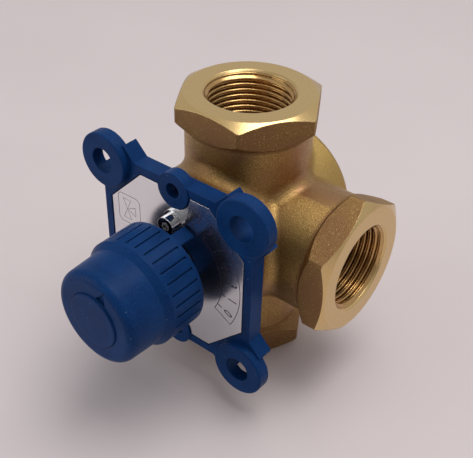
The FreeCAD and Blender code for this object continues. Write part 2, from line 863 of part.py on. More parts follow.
def make_knob():
    """Hollow moulded knob: grooved ring, plain tapering front, hub, tabs and pointer arrow."""
    cap_hole = s.cap_radius + s.cap_play
    cavity_front = knob_front - s.knob_front_wall
    ring_inner = s.knob_ring_radius - s.knob_wall
    body_inner = s.knob_body_radius - s.knob_wall
    front_inner = knob_front_radius - s.knob_wall
    bore = spindle_bore
    knob = new_body("knob")
    shell = revolve(knob, [
        (ring_inner, -knob_back),
        (s.knob_ring_radius, -knob_back),
        (s.knob_ring_radius, -knob_ring_front),
        (s.knob_body_radius, -knob_shoulder_front),
        (knob_front_radius, -knob_front),
        (cap_hole, -knob_front),
        (cap_hole, -cap_seat),
        (s.knob_screw_well_radius, -cap_seat),
        (s.knob_screw_well_radius, -well_floor),
        (screw_hole_radius, -well_floor),
        (screw_hole_radius, -hub_web_back),
        (bore, -hub_web_back),
        (bore, -hub_back),
        (s.knob_hub_radius, -hub_back),
        (s.knob_hub_radius, -cavity_front),
        (front_inner, -cavity_front),
        (body_inner, -(knob_shoulder_front - s.knob_wall)),
        (ring_inner, -(knob_ring_front - s.knob_wall)),
    ], "Shell")
    round_edges(knob, "FrontRound", shell, knob_front_radius, knob_front, s.knob_front_round)

    def tab_outline(angle):
        half = s.tab_width / 2
        return [
            polar(ring_inner, -half, angle),
            polar(s.knob_ring_radius - s.knob_groove_depth, -half, angle),
            polar(s.knob_ring_radius - s.knob_groove_depth, half, angle),
            polar(ring_inner, half, angle),
        ]

    tab_reach = knob_back + s.knob_groove_margin
    for name, angle in (
        ("PointerTab", s.pointer_angle),
        ("StopTab", s.pointer_angle + s.stop_tab_spread),
    ):
        outline = tab_outline(angle)
        extrude(knob, name, scale_front + s.tab_gap, tab_reach,
                lambda sketch, points=outline: draw_polygon(sketch, points))

    def flat_filling(sketch):
        inside = s.spindle_radius - s.spindle_flat_depth + s.running_clearance
        half = (s.knob_hub_radius + bore) / 4
        draw_polygon(sketch, [
            (-half, inside),
            (half, inside),
            (half, (s.knob_hub_radius + bore) / 2),
            (-half, (s.knob_hub_radius + bore) / 2),
        ])

    extrude(knob, "DriveFlat", hub_back, hub_web_back, flat_filling)

    def arrow(sketch):
        tip = knob_front_radius - s.arrow_rim
        draw_polygon(sketch, [
            polar(tip, ZERO, s.pointer_angle),
            polar(tip - s.arrow_length, s.arrow_width / 2, s.pointer_angle),
            polar(tip - s.arrow_length, -(s.arrow_width / 2), s.pointer_angle),
        ])

    carve(knob, "Arrow", knob_front, s.arrow_depth, arrow)

    def groove(sketch):
        inside = s.knob_ring_radius - s.knob_groove_depth
        outside = s.knob_ring_radius + s.knob_groove_depth
        draw_polygon(sketch, [
            (inside, -(s.knob_groove_width / 2)),
            (outside, -(s.knob_groove_width / 2)),
            (outside, s.knob_groove_width / 2),
            (inside, s.knob_groove_width / 2),
        ])

    groove_front = knob_ring_front - s.knob_groove_margin
    groove_length = s.knob_ring_length - s.knob_groove_margin * 2
    first_groove = carve(knob, "GripGroove", groove_front, groove_length, groove)
    pattern = knob.newObject("PartDesign::PolarPattern", "GripGrooves")
    pattern.Originals = [first_groove]
    pattern.Axis = (next(item for item in knob.Origin.OriginFeatures if item.Role == "Y_Axis"), [""])
    pattern.Angle = FULL_TURN
    bind(pattern, Occurrences=s.knob_groove_count)
    knob.Tip = pattern
    return knob


def make_knob_cap():
    """Round cap that closes the screw's well and stands a little proud of the knob."""
    cap = new_body("knob_cap")
    cap_front = knob_front + s.cap_proud
    disc = revolve(cap, [
        (ZERO, -cap_seat),
        (s.cap_radius, -cap_seat),
        (s.cap_radius, -cap_front),
        (ZERO, -cap_front),
    ])
    round_edges(cap, "CapRound", disc, s.cap_radius, cap_front, s.cap_edge_round)
    return cap


def make_knob_screw():
    head_seat = well_floor + s.knob_washer_thickness
    screw = turned("knob_screw", [
        (ZERO, -(head_seat - s.knob_screw_length)),
        (s.screw_radius, -(head_seat - s.knob_screw_length)),
        (s.screw_radius, -head_seat),
        (s.knob_screw_head_radius, -head_seat),
        (s.knob_screw_head_radius, -(head_seat + s.knob_screw_head_height)),
        (ZERO, -(head_seat + s.knob_screw_head_height)),
    ])
    return screw


# The assembly

PIECES = [
    make_valve_body(),
    make_bonnet(),
    make_bonnet_o_ring(),
    ring("spindle_bush", spindle_bore, bush_radius, barrel_front - s.bush_length, s.bush_length),
    make_spindle(),
    make_spindle_o_ring("inner_spindle_o_ring", 0),
    make_spindle_o_ring("outer_spindle_o_ring", 1),
    ring("thrust_washer", spindle_bore, s.thrust_washer_radius,
         s.bonnet_seat - s.thrust_washer_thickness, s.thrust_washer_thickness),
    make_retaining_ring(),
    make_rotor(),
    make_rear_bush(),
    make_mounting_plate(),
    make_scale_plate(),
    make_plate_screws(),
    make_plate_washers(),
    make_knob(),
    make_knob_cap(),
    make_knob_screw(),
    ring("knob_screw_washer", screw_hole_radius, s.knob_screw_head_radius,
         well_floor, s.knob_washer_thickness),
]

doc.recompute()
for item in doc.Objects:
    if "Invalid" in item.State or "Error" in item.State:
        raise RuntimeError(f"{item.Label} failed: {item.State}")
for piece in PIECES:
    if piece.Shape.isNull() or not piece.Shape.isValid():
        raise RuntimeError(f"{piece.Label} has no valid shape")

os.makedirs("parts", exist_ok=True)
for piece in PIECES:
    piece.Shape.exportStep(f"parts/{piece.Label}.step")
    print(piece.Label, len(piece.Shape.Solids), round(piece.Shape.Volume, 1))
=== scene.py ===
"""Looks of a rotary three-way mixing valve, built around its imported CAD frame."""

import json
import logging
import math
from dataclasses import dataclass
from enum import Enum
from typing import Callable, ClassVar, Sequence, Union

import bmesh
import bpy
from mathutils import Matrix, Vector


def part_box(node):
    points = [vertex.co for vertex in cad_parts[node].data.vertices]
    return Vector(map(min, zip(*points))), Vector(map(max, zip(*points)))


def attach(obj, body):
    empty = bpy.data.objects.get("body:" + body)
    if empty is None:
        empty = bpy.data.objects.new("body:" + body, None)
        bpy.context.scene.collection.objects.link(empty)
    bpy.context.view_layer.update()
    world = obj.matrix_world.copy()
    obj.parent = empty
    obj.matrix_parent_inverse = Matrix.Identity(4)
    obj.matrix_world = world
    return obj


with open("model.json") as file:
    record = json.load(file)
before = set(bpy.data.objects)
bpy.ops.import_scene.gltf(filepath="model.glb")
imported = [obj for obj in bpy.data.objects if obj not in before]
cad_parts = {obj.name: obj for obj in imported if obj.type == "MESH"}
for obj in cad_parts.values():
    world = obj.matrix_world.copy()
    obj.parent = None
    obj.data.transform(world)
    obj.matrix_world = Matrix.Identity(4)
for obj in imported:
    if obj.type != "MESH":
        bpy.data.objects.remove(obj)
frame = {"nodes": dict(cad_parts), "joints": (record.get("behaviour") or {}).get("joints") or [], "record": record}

log = logging.getLogger("mixing_valve")

MM = 0.001
HOUSING = "housing"
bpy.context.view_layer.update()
SPINDLE_MIDDLE = Vector(frame["joints"][0]["pos_m"])
MOUNTS = {mount["name"]: mount for mount in frame["record"]["mounts"]}
PLATE_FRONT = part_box("scale_plate")[0].y

Colour = tuple[float, float, float, float]
Span = tuple[float, float]
FlatPoint = tuple[float, float]
Place = tuple[float, float, float]
Socket = bpy.types.NodeSocket
Feed = Union[Socket, float, Sequence[float]]

FULL_SPAN: Span = (0.0, 1.0)
NOISE_SPAN: Span = (0.3, 0.7)


# Shader nodes

class Mixed(Enum):
    """What a mix node mixes: its data type, and the ending of its sockets' names."""

    COLOUR = ("RGBA", "Color")
    NUMBER = ("FLOAT", "Float")


class Graph:
    """Adds nodes to one node tree and joins them."""

    def __init__(self, tree: bpy.types.NodeTree) -> None:
        """Keep the tree that the nodes go into."""
        self.tree = tree

    def node(self, kind: str, **settings: object) -> bpy.types.Node:
        """Add a node.

        Args:
            kind: Blender's name of the node type.
            **settings: Properties of the node.

        Returns:
            The new node.
        """
        made = self.tree.nodes.new(kind)
        for name, value in settings.items():
            setattr(made, name, value)
        return made

    def feed(self, socket: Socket, source: Feed) -> None:
        """Join a source to a socket, or set the socket's own value.

        Args:
            socket: The socket that takes it.
            source: Another socket, a number, a vector or a colour.
        """
        if isinstance(source, Socket):
            self.tree.links.new(source, socket)
        else:
            socket.default_value = source

    def math(self, operation: str, *terms: Feed) -> Socket:
        """A number worked out from other numbers.

        Args:
            operation: Blender's name of the operation.
            *terms: Its terms, sockets or numbers.

        Returns:
            The socket with the result.
        """
        made = self.node("ShaderNodeMath", operation=operation)
        for socket, term in zip(made.inputs, terms):
            self.feed(socket, term)
        return made.outputs[0]

    def times(self, first: Feed, second: Feed) -> Socket:
        """The product of two numbers."""
        return self.math("MULTIPLY", first, second)

    def above(self, value: Feed, limit: Feed) -> Socket:
        """A mask that is 1 where a value is greater than a limit."""
        return self.math("GREATER_THAN", value, limit)

    def below(self, value: Feed, limit: Feed) -> Socket:
        """A mask that is 1 where a value is less than a limit."""
        return self.math("LESS_THAN", value, limit)

    def larger(self, first: Feed, second: Feed) -> Socket:
        """The larger of two numbers."""
        return self.math("MAXIMUM", first, second)

    def unsigned(self, value: Feed) -> Socket:
        """A number without its sign."""
        return self.math("ABSOLUTE", value)

    def across(self, first: Feed, second: Feed) -> Socket:
        """The distance that two square offsets make."""
        return self.math("SQRT", self.math("ADD", self.times(first, first), self.times(second, second)))

    def vector(self, operation: str, *terms: Feed) -> bpy.types.Node:
        """A vector operation.

        Args:
            operation: Blender's name of the operation.
            *terms: Its terms, sockets or vectors.

        Returns:
            The node, with its result in Vector or in Value.
        """
        made = self.node("ShaderNodeVectorMath", operation=operation)
        for socket, term in zip(made.inputs, terms):
            self.feed(socket, term)
        return made

    def parts(self, vector: Feed) -> tuple[Socket, ...]:
        """The three coordinates of a vector.

        Args:
            vector: The vector to take apart.

        Returns:
            Its x, y and z.
        """
        made = self.node("ShaderNodeSeparateXYZ")
        self.feed(made.inputs[0], vector)
        return tuple(made.outputs)

    def ramp(self, value: Feed, span: Span, result: Span = FULL_SPAN) -> Socket:
        """A value mapped smoothly from one span to another.

        Args:
            value: The value to map.
            span: Where the mapping starts and ends.
            result: What it gives at the start and at the end.

        Returns:
            The socket with the mapped value.
        """
        made = self.node("ShaderNodeMapRange", interpolation_type="SMOOTHSTEP")
        self.feed(made.inputs["Value"], value)
        for name, limit in zip(("From Min", "From Max", "To Min", "To Max"), span + result):
            self.feed(made.inputs[name], limit)
        return made.outputs["Result"]

    def between(self, mixed: Mixed, share: Feed, first: Feed, second: Feed) -> Socket:
        """What lies between two colours or two numbers.

        Args:
            mixed: Which of the two it mixes.
            share: How much of the second there is.
            first: The first colour or number.
            second: The second colour or number.

        Returns:
            The socket with the result.
        """
        data_type, ending = mixed.value
        made = self.node("ShaderNodeMix", data_type=data_type)
        inputs = {socket.identifier: socket for socket in made.inputs}
        outputs = {socket.identifier: socket for socket in made.outputs}
        self.feed(inputs["Factor_Float"], share)
        self.feed(inputs[f"A_{ending}"], first)
        self.feed(inputs[f"B_{ending}"], second)
        return outputs[f"Result_{ending}"]

    def mix(self, share: Feed, first: Feed, second: Feed) -> Socket:
        """A colour between two others, with this share of the second."""
        return self.between(Mixed.COLOUR, share, first, second)

    def blend(self, share: Feed, first: Feed, second: Feed) -> Socket:
        """A number between two others, with this share of the second."""
        return self.between(Mixed.NUMBER, share, first, second)

    def noise(self, place: Feed, scale: Feed, detail: float) -> Socket:
        """A cloudy value over the surface, about 0.5 on average.

        Args:
            place: The point on the surface.
            scale: How many clouds a metre holds.
            detail: How many finer layers it has.

        Returns:
            The socket with the value.
        """
        made = self.node("ShaderNodeTexNoise")
        self.feed(made.inputs["Vector"], place)
        self.feed(made.inputs["Scale"], scale)
        self.feed(made.inputs["Detail"], detail)
        return made.outputs["Fac"]

    def place(self) -> Socket:
        """The point on the piece, in its own frame."""
        return self.node("ShaderNodeTexCoord").outputs["Object"]

    def group(self, effect: "Effect", **values: Feed) -> bpy.types.Node:
        """Place a shared effect with its own values.

        Args:
            effect: The effect to place.
            **values: What its inputs take, by name.

        Returns:
            The group node.
        """
        made = self.node("ShaderNodeGroup")
        made.node_tree = effect.tree()
        for name, source in values.items():
            self.feed(made.inputs[name], source)
        return made

    def bump(self, height: Feed, strength: float, depth: float, normal: Feed) -> Socket:
        """A normal that follows a fine relief.

        Args:
            height: The relief, from 0 to 1.
            strength: How much of it shows.
            depth: Its depth in metres.
            normal: The normal that it bends.

        Returns:
            The socket with the bent normal.
        """
        made = self.node("ShaderNodeBump")
        self.feed(made.inputs["Strength"], strength)
        self.feed(made.inputs["Distance"], depth)
        self.feed(made.inputs["Height"], height)
        self.feed(made.inputs["Normal"], normal)
        return made.outputs["Normal"]


# Shared surface effects

class Effect(Enum):
    """Surface effects that several finishes share, each one a node group."""

    GRAIN = "fine_grain"
    EDGES = "softened_edges"
    TURNING = "turning_marks"
    SPECKS = "scattered_specks"

    def tree(self) -> bpy.types.NodeTree:
        """The effect's node group, built at its first use."""
        made = bpy.data.node_groups.get(self.value)
        return made if made else EFFECT_BUILDERS[self](self.value)


class GroupGraph(Graph):
    """A new node group with number inputs and named results."""

    def __init__(self, name: str, inputs: dict[str, float], outputs: dict[str, str]) -> None:
        """Make the group with its sockets.

        Args:
            name: The group's name.
            inputs: Name and default of each number that it takes.
            outputs: Name and kind of each result.
        """
        super().__init__(bpy.data.node_groups.new(name, "ShaderNodeTree"))
        sockets = self.tree.interface
        for label, default in inputs.items():
            socket = sockets.new_socket(label, in_out="INPUT", socket_type="NodeSocketFloat")
            socket.default_value = default
        for label, kind in outputs.items():
            sockets.new_socket(label, in_out="OUTPUT", socket_type=f"NodeSocket{kind}")
        self.taken = self.node("NodeGroupInput").outputs
        self.given = self.node("NodeGroupOutput").inputs


def build_grain(name: str) -> bpy.types.NodeTree:
    """Fine grain of a moulded or cast surface, with slow clouds in it.

    Args:
        name: The group's name.

    Returns:
        A group that puts out Height, the grain, and Cloud, a slow change of tone.
    """
    coarse_detail, fine_detail, cloud_detail = 4.0, 2.0, 5.0
    fine_ratio = 2.7
    fine_share = 0.35
    inputs = {"Scale": 1500.0, "Clouds": 60.0}
    graph = GroupGraph(name, inputs, {"Height": "Float", "Cloud": "Float"})
    place = graph.place()
    scale = graph.taken["Scale"]
    coarse = graph.noise(place, scale, coarse_detail)
    fine = graph.noise(place, graph.times(scale, fine_ratio), fine_detail)
    graph.feed(graph.given["Height"], graph.blend(fine_share, coarse, fine))
    graph.feed(graph.given["Cloud"], graph.noise(place, graph.taken["Clouds"], cloud_detail))
    return graph.tree


def build_edges(name: str) -> bpy.types.NodeTree:
    """Edges rounded off in the shading.

    Args:
        name: The group's name.

    Returns:
        A group that puts out the softened Normal and Edge, a mask of where it bends.
    """
    rays = 8
    bent_span = (0.99, 0.8)
    graph = GroupGraph(name, {"Radius": 0.3 * MM}, {"Normal": "Vector", "Edge": "Float"})
    bevel = graph.node("ShaderNodeBevel", samples=rays)
    graph.feed(bevel.inputs["Radius"], graph.taken["Radius"])
    soft = bevel.outputs["Normal"]
    plain = graph.node("ShaderNodeNewGeometry").outputs["Normal"]
    likeness = graph.vector("DOT_PRODUCT", soft, plain).outputs["Value"]
    graph.feed(graph.given["Normal"], soft)
    graph.feed(graph.given["Edge"], graph.ramp(likeness, bent_span))
    return graph.tree


def build_turning(name: str) -> bpy.types.NodeTree:
    """Fine rings that a cutting tool leaves on a turned face.

    Args:
        name: The group's name.

    Returns:
        A group that takes the distance from the turning axis and puts out Height.
    """
    ring_detail = 4.0
    graph = GroupGraph(name, {"Distance": 0.0, "Spacing": 0.25 * MM}, {"Height": "Float"})
    rings = graph.node("ShaderNodeTexNoise", noise_dimensions="1D")
    turns = graph.math("DIVIDE", graph.taken["Distance"], graph.taken["Spacing"])
    graph.feed(rings.inputs["W"], turns)
    graph.feed(rings.inputs["Scale"], 1.0)
    graph.feed(rings.inputs["Detail"], ring_detail)
    graph.feed(graph.given["Height"], rings.outputs["Fac"])
    return graph.tree


def build_specks(name: str) -> bpy.types.NodeTree:
    """Scattered small specks.

    Args:
        name: The group's name.

    Returns:
        A group that puts out Mask, 1 on a speck.
    """
    inputs = {"Scale": 500.0, "Size": 0.2, "Share": 0.15}
    graph = GroupGraph(name, inputs, {"Mask": "Float"})
    cells = graph.node("ShaderNodeTexVoronoi")
    graph.feed(cells.inputs["Vector"], graph.place())
    graph.feed(cells.inputs["Scale"], graph.taken["Scale"])
    lot = graph.node("ShaderNodeSeparateColor")
    graph.feed(lot.inputs[0], cells.outputs["Color"])
    drawn = graph.below(lot.outputs[0], graph.taken["Share"])
    near = graph.below(cells.outputs["Distance"], graph.taken["Size"])
    graph.feed(graph.given["Mask"], graph.times(drawn, near))
    return graph.tree


EFFECT_BUILDERS: dict[Effect, Callable[[str], bpy.types.NodeTree]] = {
    Effect.GRAIN: build_grain,
    Effect.EDGES: build_edges,
    Effect.TURNING: build_turning,
    Effect.SPECKS: build_specks,
}


# Finishes

class Finish:
    """A material of shader nodes, built once."""

    name: str

    def material(self) -> bpy.types.Material:
        """The finish as a material.

        Returns:
            The material, the same one at each call.
        """
        found = bpy.data.materials.get(self.name)
        if found:
            return found
        made = bpy.data.materials.new(self.name)
        made.use_nodes = True
        self.dress(Graph(made.node_tree), made.node_tree.nodes["Principled BSDF"].inputs)
        return made

    def dress(self, graph: Graph, shader: bpy.types.NodeInputs) -> None:
        """Set and join the shader's sockets.

        Args:
            graph: The material's graph.
            shader: The sockets of its shader.
        """
        raise NotImplementedError


@dataclass(frozen=True)
class CastBrass(Finish):
    """Sand-cast brass, matt and grainy, with bright machined port faces and bores."""

    name: ClassVar[str] = "sand_cast_brass"
    dark: Colour = (0.25, 0.138, 0.045, 1.0)
    pale: Colour = (0.57, 0.38, 0.14, 1.0)
    rosy: Colour = (0.35, 0.185, 0.095, 1.0)
    # Painted shade: a darker, redder colour laid on the hexagons for the shade on their faces.
    painted_hexagon_shade: Colour = (0.21, 0.108, 0.052, 1.0)
    smooth: Colour = (0.54, 0.37, 0.115, 1.0)
    cut_dark: Colour = (0.65, 0.455, 0.20, 1.0)
    cut_pale: Colour = (0.71, 0.515, 0.24, 1.0)
    face_start: float = 50.6 * MM
    face_facing: float = 0.5
    bore_radius: float = 17.6 * MM
    neck_start: float = 24.0 * MM
    hexagon_start: float = 41.2 * MM
    hexagon_fade: float = 0.2 * MM
    strip_half: float = 4.6 * MM
    strip_fade: float = 1.0 * MM
    strip_facing: float = 0.8
    barrel_back: float = 8.0 * MM
    edge_radius: float = 0.45 * MM
    grain_scale: float = 2400.0
    grain_depth: float = 0.3 * MM
    grain_strength: float = 0.7
    cloud_scale: float = 70.0
    ring_spacing: float = 0.2 * MM
    ring_relief: float = 0.006
    speck_scale: float = 1200.0
    speck_size: float = 0.3
    speck_share: float = 0.22
    tone_span: Span = (0.34, 0.66)
    rosy_span: Span = (0.42, 0.66)
    cut_span: Span = (0.2, 0.8)
    rosy_share: float = 0.6
    strip_share: float = 0.6
    smooth_share: float = 0.55
    # Share of painted shade on the hexagons.
    painted_hexagon_shade_share: float = 0.55
    wear_and_highlight_share: float = 0.45
    # Painted glints: how strongly the pale specks stand in for sparkle on the cast grain.
    painted_glint_strength: float = 0.36
    strip_sand: float = 0.45
    skin_rough: Span = (0.48, 0.34)
    hexagon_rough: float = 0.14
    cut_rough: Span = (0.24, 0.28)

    @staticmethod
    def facing(graph: Graph, normal: Feed) -> tuple[Socket, Socket]:
        """How much the surface faces along the port axes.

        Args:
            graph: The material's graph.
            normal: The surface's direction.

        Returns:
            Its share along the side port, and its share along the upright ports.
        """
        aside, _, upright = graph.parts(normal)
        return graph.unsigned(aside), graph.unsigned(upright)

    def machined(self, graph: Graph, offset: Feed, normal: Feed) -> tuple[Socket, Socket]:
        """Where the casting was machined.

        Args:
            graph: The material's graph.
            offset: The place, from the crossing of the port axes.
            normal: The surface's direction there.

        Returns:
            The mask of machined surface, and the distance from the port's axis there.
        """
        x, y, z = graph.parts(offset)
        facing_side, facing_up = self.facing(graph, normal)
        from_upright = graph.across(x, y)
        from_side = graph.across(y, z)
        end_up = graph.above(graph.unsigned(z), self.face_start)
        end_side = graph.above(x, self.face_start)
        face_up = graph.times(end_up, graph.above(facing_up, self.face_facing))
        face_side = graph.times(end_side, graph.above(facing_side, self.face_facing))
        bore_up = graph.below(from_upright, self.bore_radius)
        bore_side = graph.times(graph.below(from_side, self.bore_radius), graph.above(x, 0.0))
        mask = graph.larger(graph.larger(face_up, face_side), graph.larger(bore_up, bore_side))
        return mask, graph.blend(end_side, from_upright, from_side)

    def parting_strip(self, graph: Graph, offset: Feed, normal: Feed) -> Socket:
        """Where the mould's parting seam was ground off along the necks.

        Args:
            graph: The material's graph.
            offset: The place, from the crossing of the port axes.
            normal: The surface's direction there.

        Returns:
            The mask of the strips.
        """
        x, y, z = graph.parts(offset)
        facing_side, facing_up = self.facing(graph, normal)
        width = (self.strip_half - self.strip_fade, self.strip_half + self.strip_fade)
        narrow = graph.ramp(graph.unsigned(y), width, (1.0, 0.0))
        start = (self.neck_start, self.neck_start + 2.0 * self.strip_fade)
        sides = []
        for along, facing in ((graph.unsigned(z), facing_side), (x, facing_up)):
            on_neck = graph.times(graph.ramp(along, start), graph.below(along, self.hexagon_start))
            sides.append(graph.times(on_neck, graph.above(facing, self.strip_facing)))
        return graph.times(narrow, graph.larger(*sides))

    def hexagon(self, graph: Graph, offset: Feed) -> Socket:
        """Where the casting has its hexagons.

        Args:
            graph: The material's graph.
            offset: The place, from the crossing of the port axes.

        Returns:
            The mask of the hexagons.
        """
        x, _, z = graph.parts(offset)
        outward = graph.larger(x, graph.unsigned(z))
        fade = (self.hexagon_start - self.hexagon_fade, self.hexagon_start + self.hexagon_fade)
        return graph.ramp(outward, fade)

    def dress(self, graph: Graph, shader: bpy.types.NodeInputs) -> None:
        """Grainy cast skin with worn edges, painted shade on the hexagons, painted glints in the grain, and ringed
        machined faces.

        Args:
            graph: The material's graph.
            shader: The sockets of its shader.
        """
        coordinates = graph.node("ShaderNodeTexCoord").outputs
        middle = tuple(SPINDLE_MIDDLE)
        offset = graph.vector("SUBTRACT", coordinates["Object"], middle).outputs["Vector"]
        machined, distance = self.machined(graph, offset, coordinates["Normal"])
        strip = self.parting_strip(graph, offset, coordinates["Normal"])
        hexagon = self.hexagon(graph, offset)
        edges = graph.group(Effect.EDGES, Radius=self.edge_radius).outputs
        grain = graph.group(Effect.GRAIN, Scale=self.grain_scale, Clouds=self.cloud_scale).outputs
        rings = graph.group(Effect.TURNING, Distance=distance, Spacing=self.ring_spacing).outputs
        specks = graph.group(
            Effect.SPECKS, Scale=self.speck_scale, Size=self.speck_size, Share=self.speck_share
        ).outputs

        tone = graph.ramp(grain["Height"], self.tone_span)
        rosy = graph.ramp(grain["Cloud"], self.rosy_span, (0.0, self.rosy_share))
        _, depth, _ = graph.parts(offset)
        back_span = (self.barrel_back, 2.0 * self.barrel_back)
        back = graph.ramp(depth, back_span, (0.0, self.smooth_share))
        # Worn edges of the casting, where bare metal shows.
        wear_and_highlight = graph.times(edges["Edge"], tone)
        skin = graph.mix(tone, self.dark, self.pale)
        for share, colour in (
            (rosy, self.rosy),
            (graph.times(strip, self.strip_share), self.rosy),
            (back, self.smooth),
            # Painted shade darkens and reddens the hexagons.
            (graph.times(hexagon, self.painted_hexagon_shade_share), self.painted_hexagon_shade),
            (graph.times(wear_and_highlight, self.wear_and_highlight_share), self.cut_dark),
            # Painted glints: pale specks in machined colour stand in for sparkle on the grain.
            (graph.times(specks["Mask"], self.painted_glint_strength), self.cut_pale),
        ):
            skin = graph.mix(share, skin, colour)
        cut = graph.mix(graph.ramp(rings["Height"], self.cut_span), self.cut_dark, self.cut_pale)
        graph.feed(shader["Base Color"], graph.mix(machined, skin, cut))
        shader["Metallic"].default_value = 1.0

        on_hexagon = graph.times(hexagon, self.hexagon_rough)
        skin_rough = graph.math("ADD", graph.ramp(tone, FULL_SPAN, self.skin_rough), on_hexagon)
        cut_rough = graph.ramp(rings["Height"], NOISE_SPAN, self.cut_rough)
        graph.feed(shader["Roughness"], graph.blend(machined, skin_rough, cut_rough))

        sand = graph.times(grain["Height"], graph.ramp(strip, FULL_SPAN, (1.0, self.strip_sand)))
        relief = graph.blend(machined, sand, graph.times(rings["Height"], self.ring_relief))
        rough_skin = graph.bump(relief, self.grain_strength, self.grain_depth, edges["Normal"])
        graph.feed(shader["Normal"], rough_skin)


@dataclass(frozen=True)
class TurnedBrass(Finish):
    """Bright brass, turned or cut with a thread."""

    name: ClassVar[str] = "machined_brass"
    dark: Colour = (0.42, 0.235, 0.088, 1.0)
    pale: Colour = (0.68, 0.455, 0.19, 1.0)
    edge_radius: float = 0.2 * MM
    grain_scale: float = 700.0
    cloud_scale: float = 120.0
    ring_spacing: float = 0.2 * MM
    ring_depth: float = 0.02 * MM
    ring_strength: float = 0.1
    rough: Span = (0.15, 0.28)

    def dress(self, graph: Graph, shader: bpy.types.NodeInputs) -> None:
        """Slightly uneven gloss, with faint tool marks along the spindle.

        Args:
            graph: The material's graph.
            shader: The sockets of its shader.
        """
        edges = graph.group(Effect.EDGES, Radius=self.edge_radius).outputs
        grain = graph.group(Effect.GRAIN, Scale=self.grain_scale, Clouds=self.cloud_scale).outputs
        _, along, _ = graph.parts(graph.place())
        rings = graph.group(Effect.TURNING, Distance=along, Spacing=self.ring_spacing).outputs
        graph.feed(shader["Base Color"], graph.mix(grain["Cloud"], self.dark, self.pale))
        shader["Metallic"].default_value = 1.0
        graph.feed(shader["Roughness"], graph.ramp(grain["Height"], NOISE_SPAN, self.rough))
        marks = graph.bump(rings["Height"], self.ring_strength, self.ring_depth, edges["Normal"])
        graph.feed(shader["Normal"], marks)


@dataclass(frozen=True)
class BluePlastic(Finish):
    """Fine matt blue moulding."""

    name: ClassVar[str] = "blue_moulding"
    deep: Colour = (0.002, 0.022, 0.092, 1.0)
    light: Colour = (0.004, 0.033, 0.130, 1.0)
    # Painted highlight colour: lighter blue on the edges, and painted sheen on the grain.
    wear_and_highlight: Colour = (0.012, 0.064, 0.215, 1.0)
    dust: Colour = (0.16, 0.20, 0.28, 1.0)
    edge_radius: float = 0.4 * MM
    grain_scale: float = 2100.0
    grain_depth: float = 0.06 * MM
    grain_strength: float = 0.4
    cloud_scale: float = 90.0
    speck_scale: float = 420.0
    speck_size: float = 0.12
    speck_share: float = 0.06
    # Painted sheen: lighter blue laid on the peaks of the grain.
    painted_sheen_span: Span = (0.42, 0.66)
    painted_sheen_share: float = 0.4
    # Share of painted highlight on the edges.
    wear_and_highlight_share: float = 0.65
    dust_share: float = 0.35
    rough: Span = (0.3, 0.46)
    specular: float = 0.07

    def dress(self, graph: Graph, shader: bpy.types.NodeInputs) -> None:
        """Faint clouds, painted highlights on the edges, painted sheen on the grain's peaks, a little dust and a
        spark-eroded grain.

        Args:
            graph: The material's graph.
            shader: The sockets of its shader.
        """
        edges = graph.group(Effect.EDGES, Radius=self.edge_radius).outputs
        grain = graph.group(Effect.GRAIN, Scale=self.grain_scale, Clouds=self.cloud_scale).outputs
        specks = graph.group(
            Effect.SPECKS, Scale=self.speck_scale, Size=self.speck_size, Share=self.speck_share
        ).outputs
        body = graph.mix(graph.ramp(grain["Cloud"], NOISE_SPAN), self.deep, self.light)
        for share, colour in (
            # Painted sheen on the grain's peaks.
            (graph.ramp(grain["Height"], self.painted_sheen_span, (0.0, self.painted_sheen_share)), self.wear_and_highlight),
            # Painted highlight on the edges of the moulding.
            (graph.times(edges["Edge"], self.wear_and_highlight_share), self.wear_and_highlight),
            (graph.times(specks["Mask"], self.dust_share), self.dust),
        ):
            body = graph.mix(share, body, colour)
        graph.feed(shader["Base Color"], body)
        graph.feed(shader["Roughness"], graph.ramp(grain["Height"], NOISE_SPAN, self.rough))
        shader["Specular IOR Level"].default_value = self.specular
        eroded = graph.bump(grain["Height"], self.grain_strength, self.grain_depth, edges["Normal"])
        graph.feed(shader["Normal"], eroded)


@dataclass(frozen=True)
class PolishedAluminium(Finish):
    """Polished sheet with a faint rolling direction."""

    name: ClassVar[str] = "polished_sheet"
    dark: Colour = (0.68, 0.675, 0.70, 1.0)
    pale: Colour = (0.80, 0.795, 0.82, 1.0)
    edge_radius: float = 0.15 * MM
    stretch: Place = (1.0, 1.0, 14.0)
    line_scale: float = 260.0
    line_detail: float = 4.0
    line_depth: float = 0.02 * MM
    line_strength: float = 0.05
    rough: Span = (0.2, 0.27)

    def dress(self, graph: Graph, shader: bpy.types.NodeInputs) -> None:
        """Lines along the rolling direction that vary tone and gloss.

        Args:
            graph: The material's graph.
            shader: The sockets of its shader.
        """
        edges = graph.group(Effect.EDGES, Radius=self.edge_radius).outputs
        stretched = graph.vector("MULTIPLY", graph.place(), self.stretch).outputs["Vector"]
        lines = graph.noise(stretched, self.line_scale, self.line_detail)
        graph.feed(shader["Base Color"], graph.mix(lines, self.dark, self.pale))
        shader["Metallic"].default_value = 1.0
        graph.feed(shader["Roughness"], graph.ramp(lines, NOISE_SPAN, self.rough))
        rolled = graph.bump(lines, self.line_strength, self.line_depth, edges["Normal"])
        graph.feed(shader["Normal"], rolled)


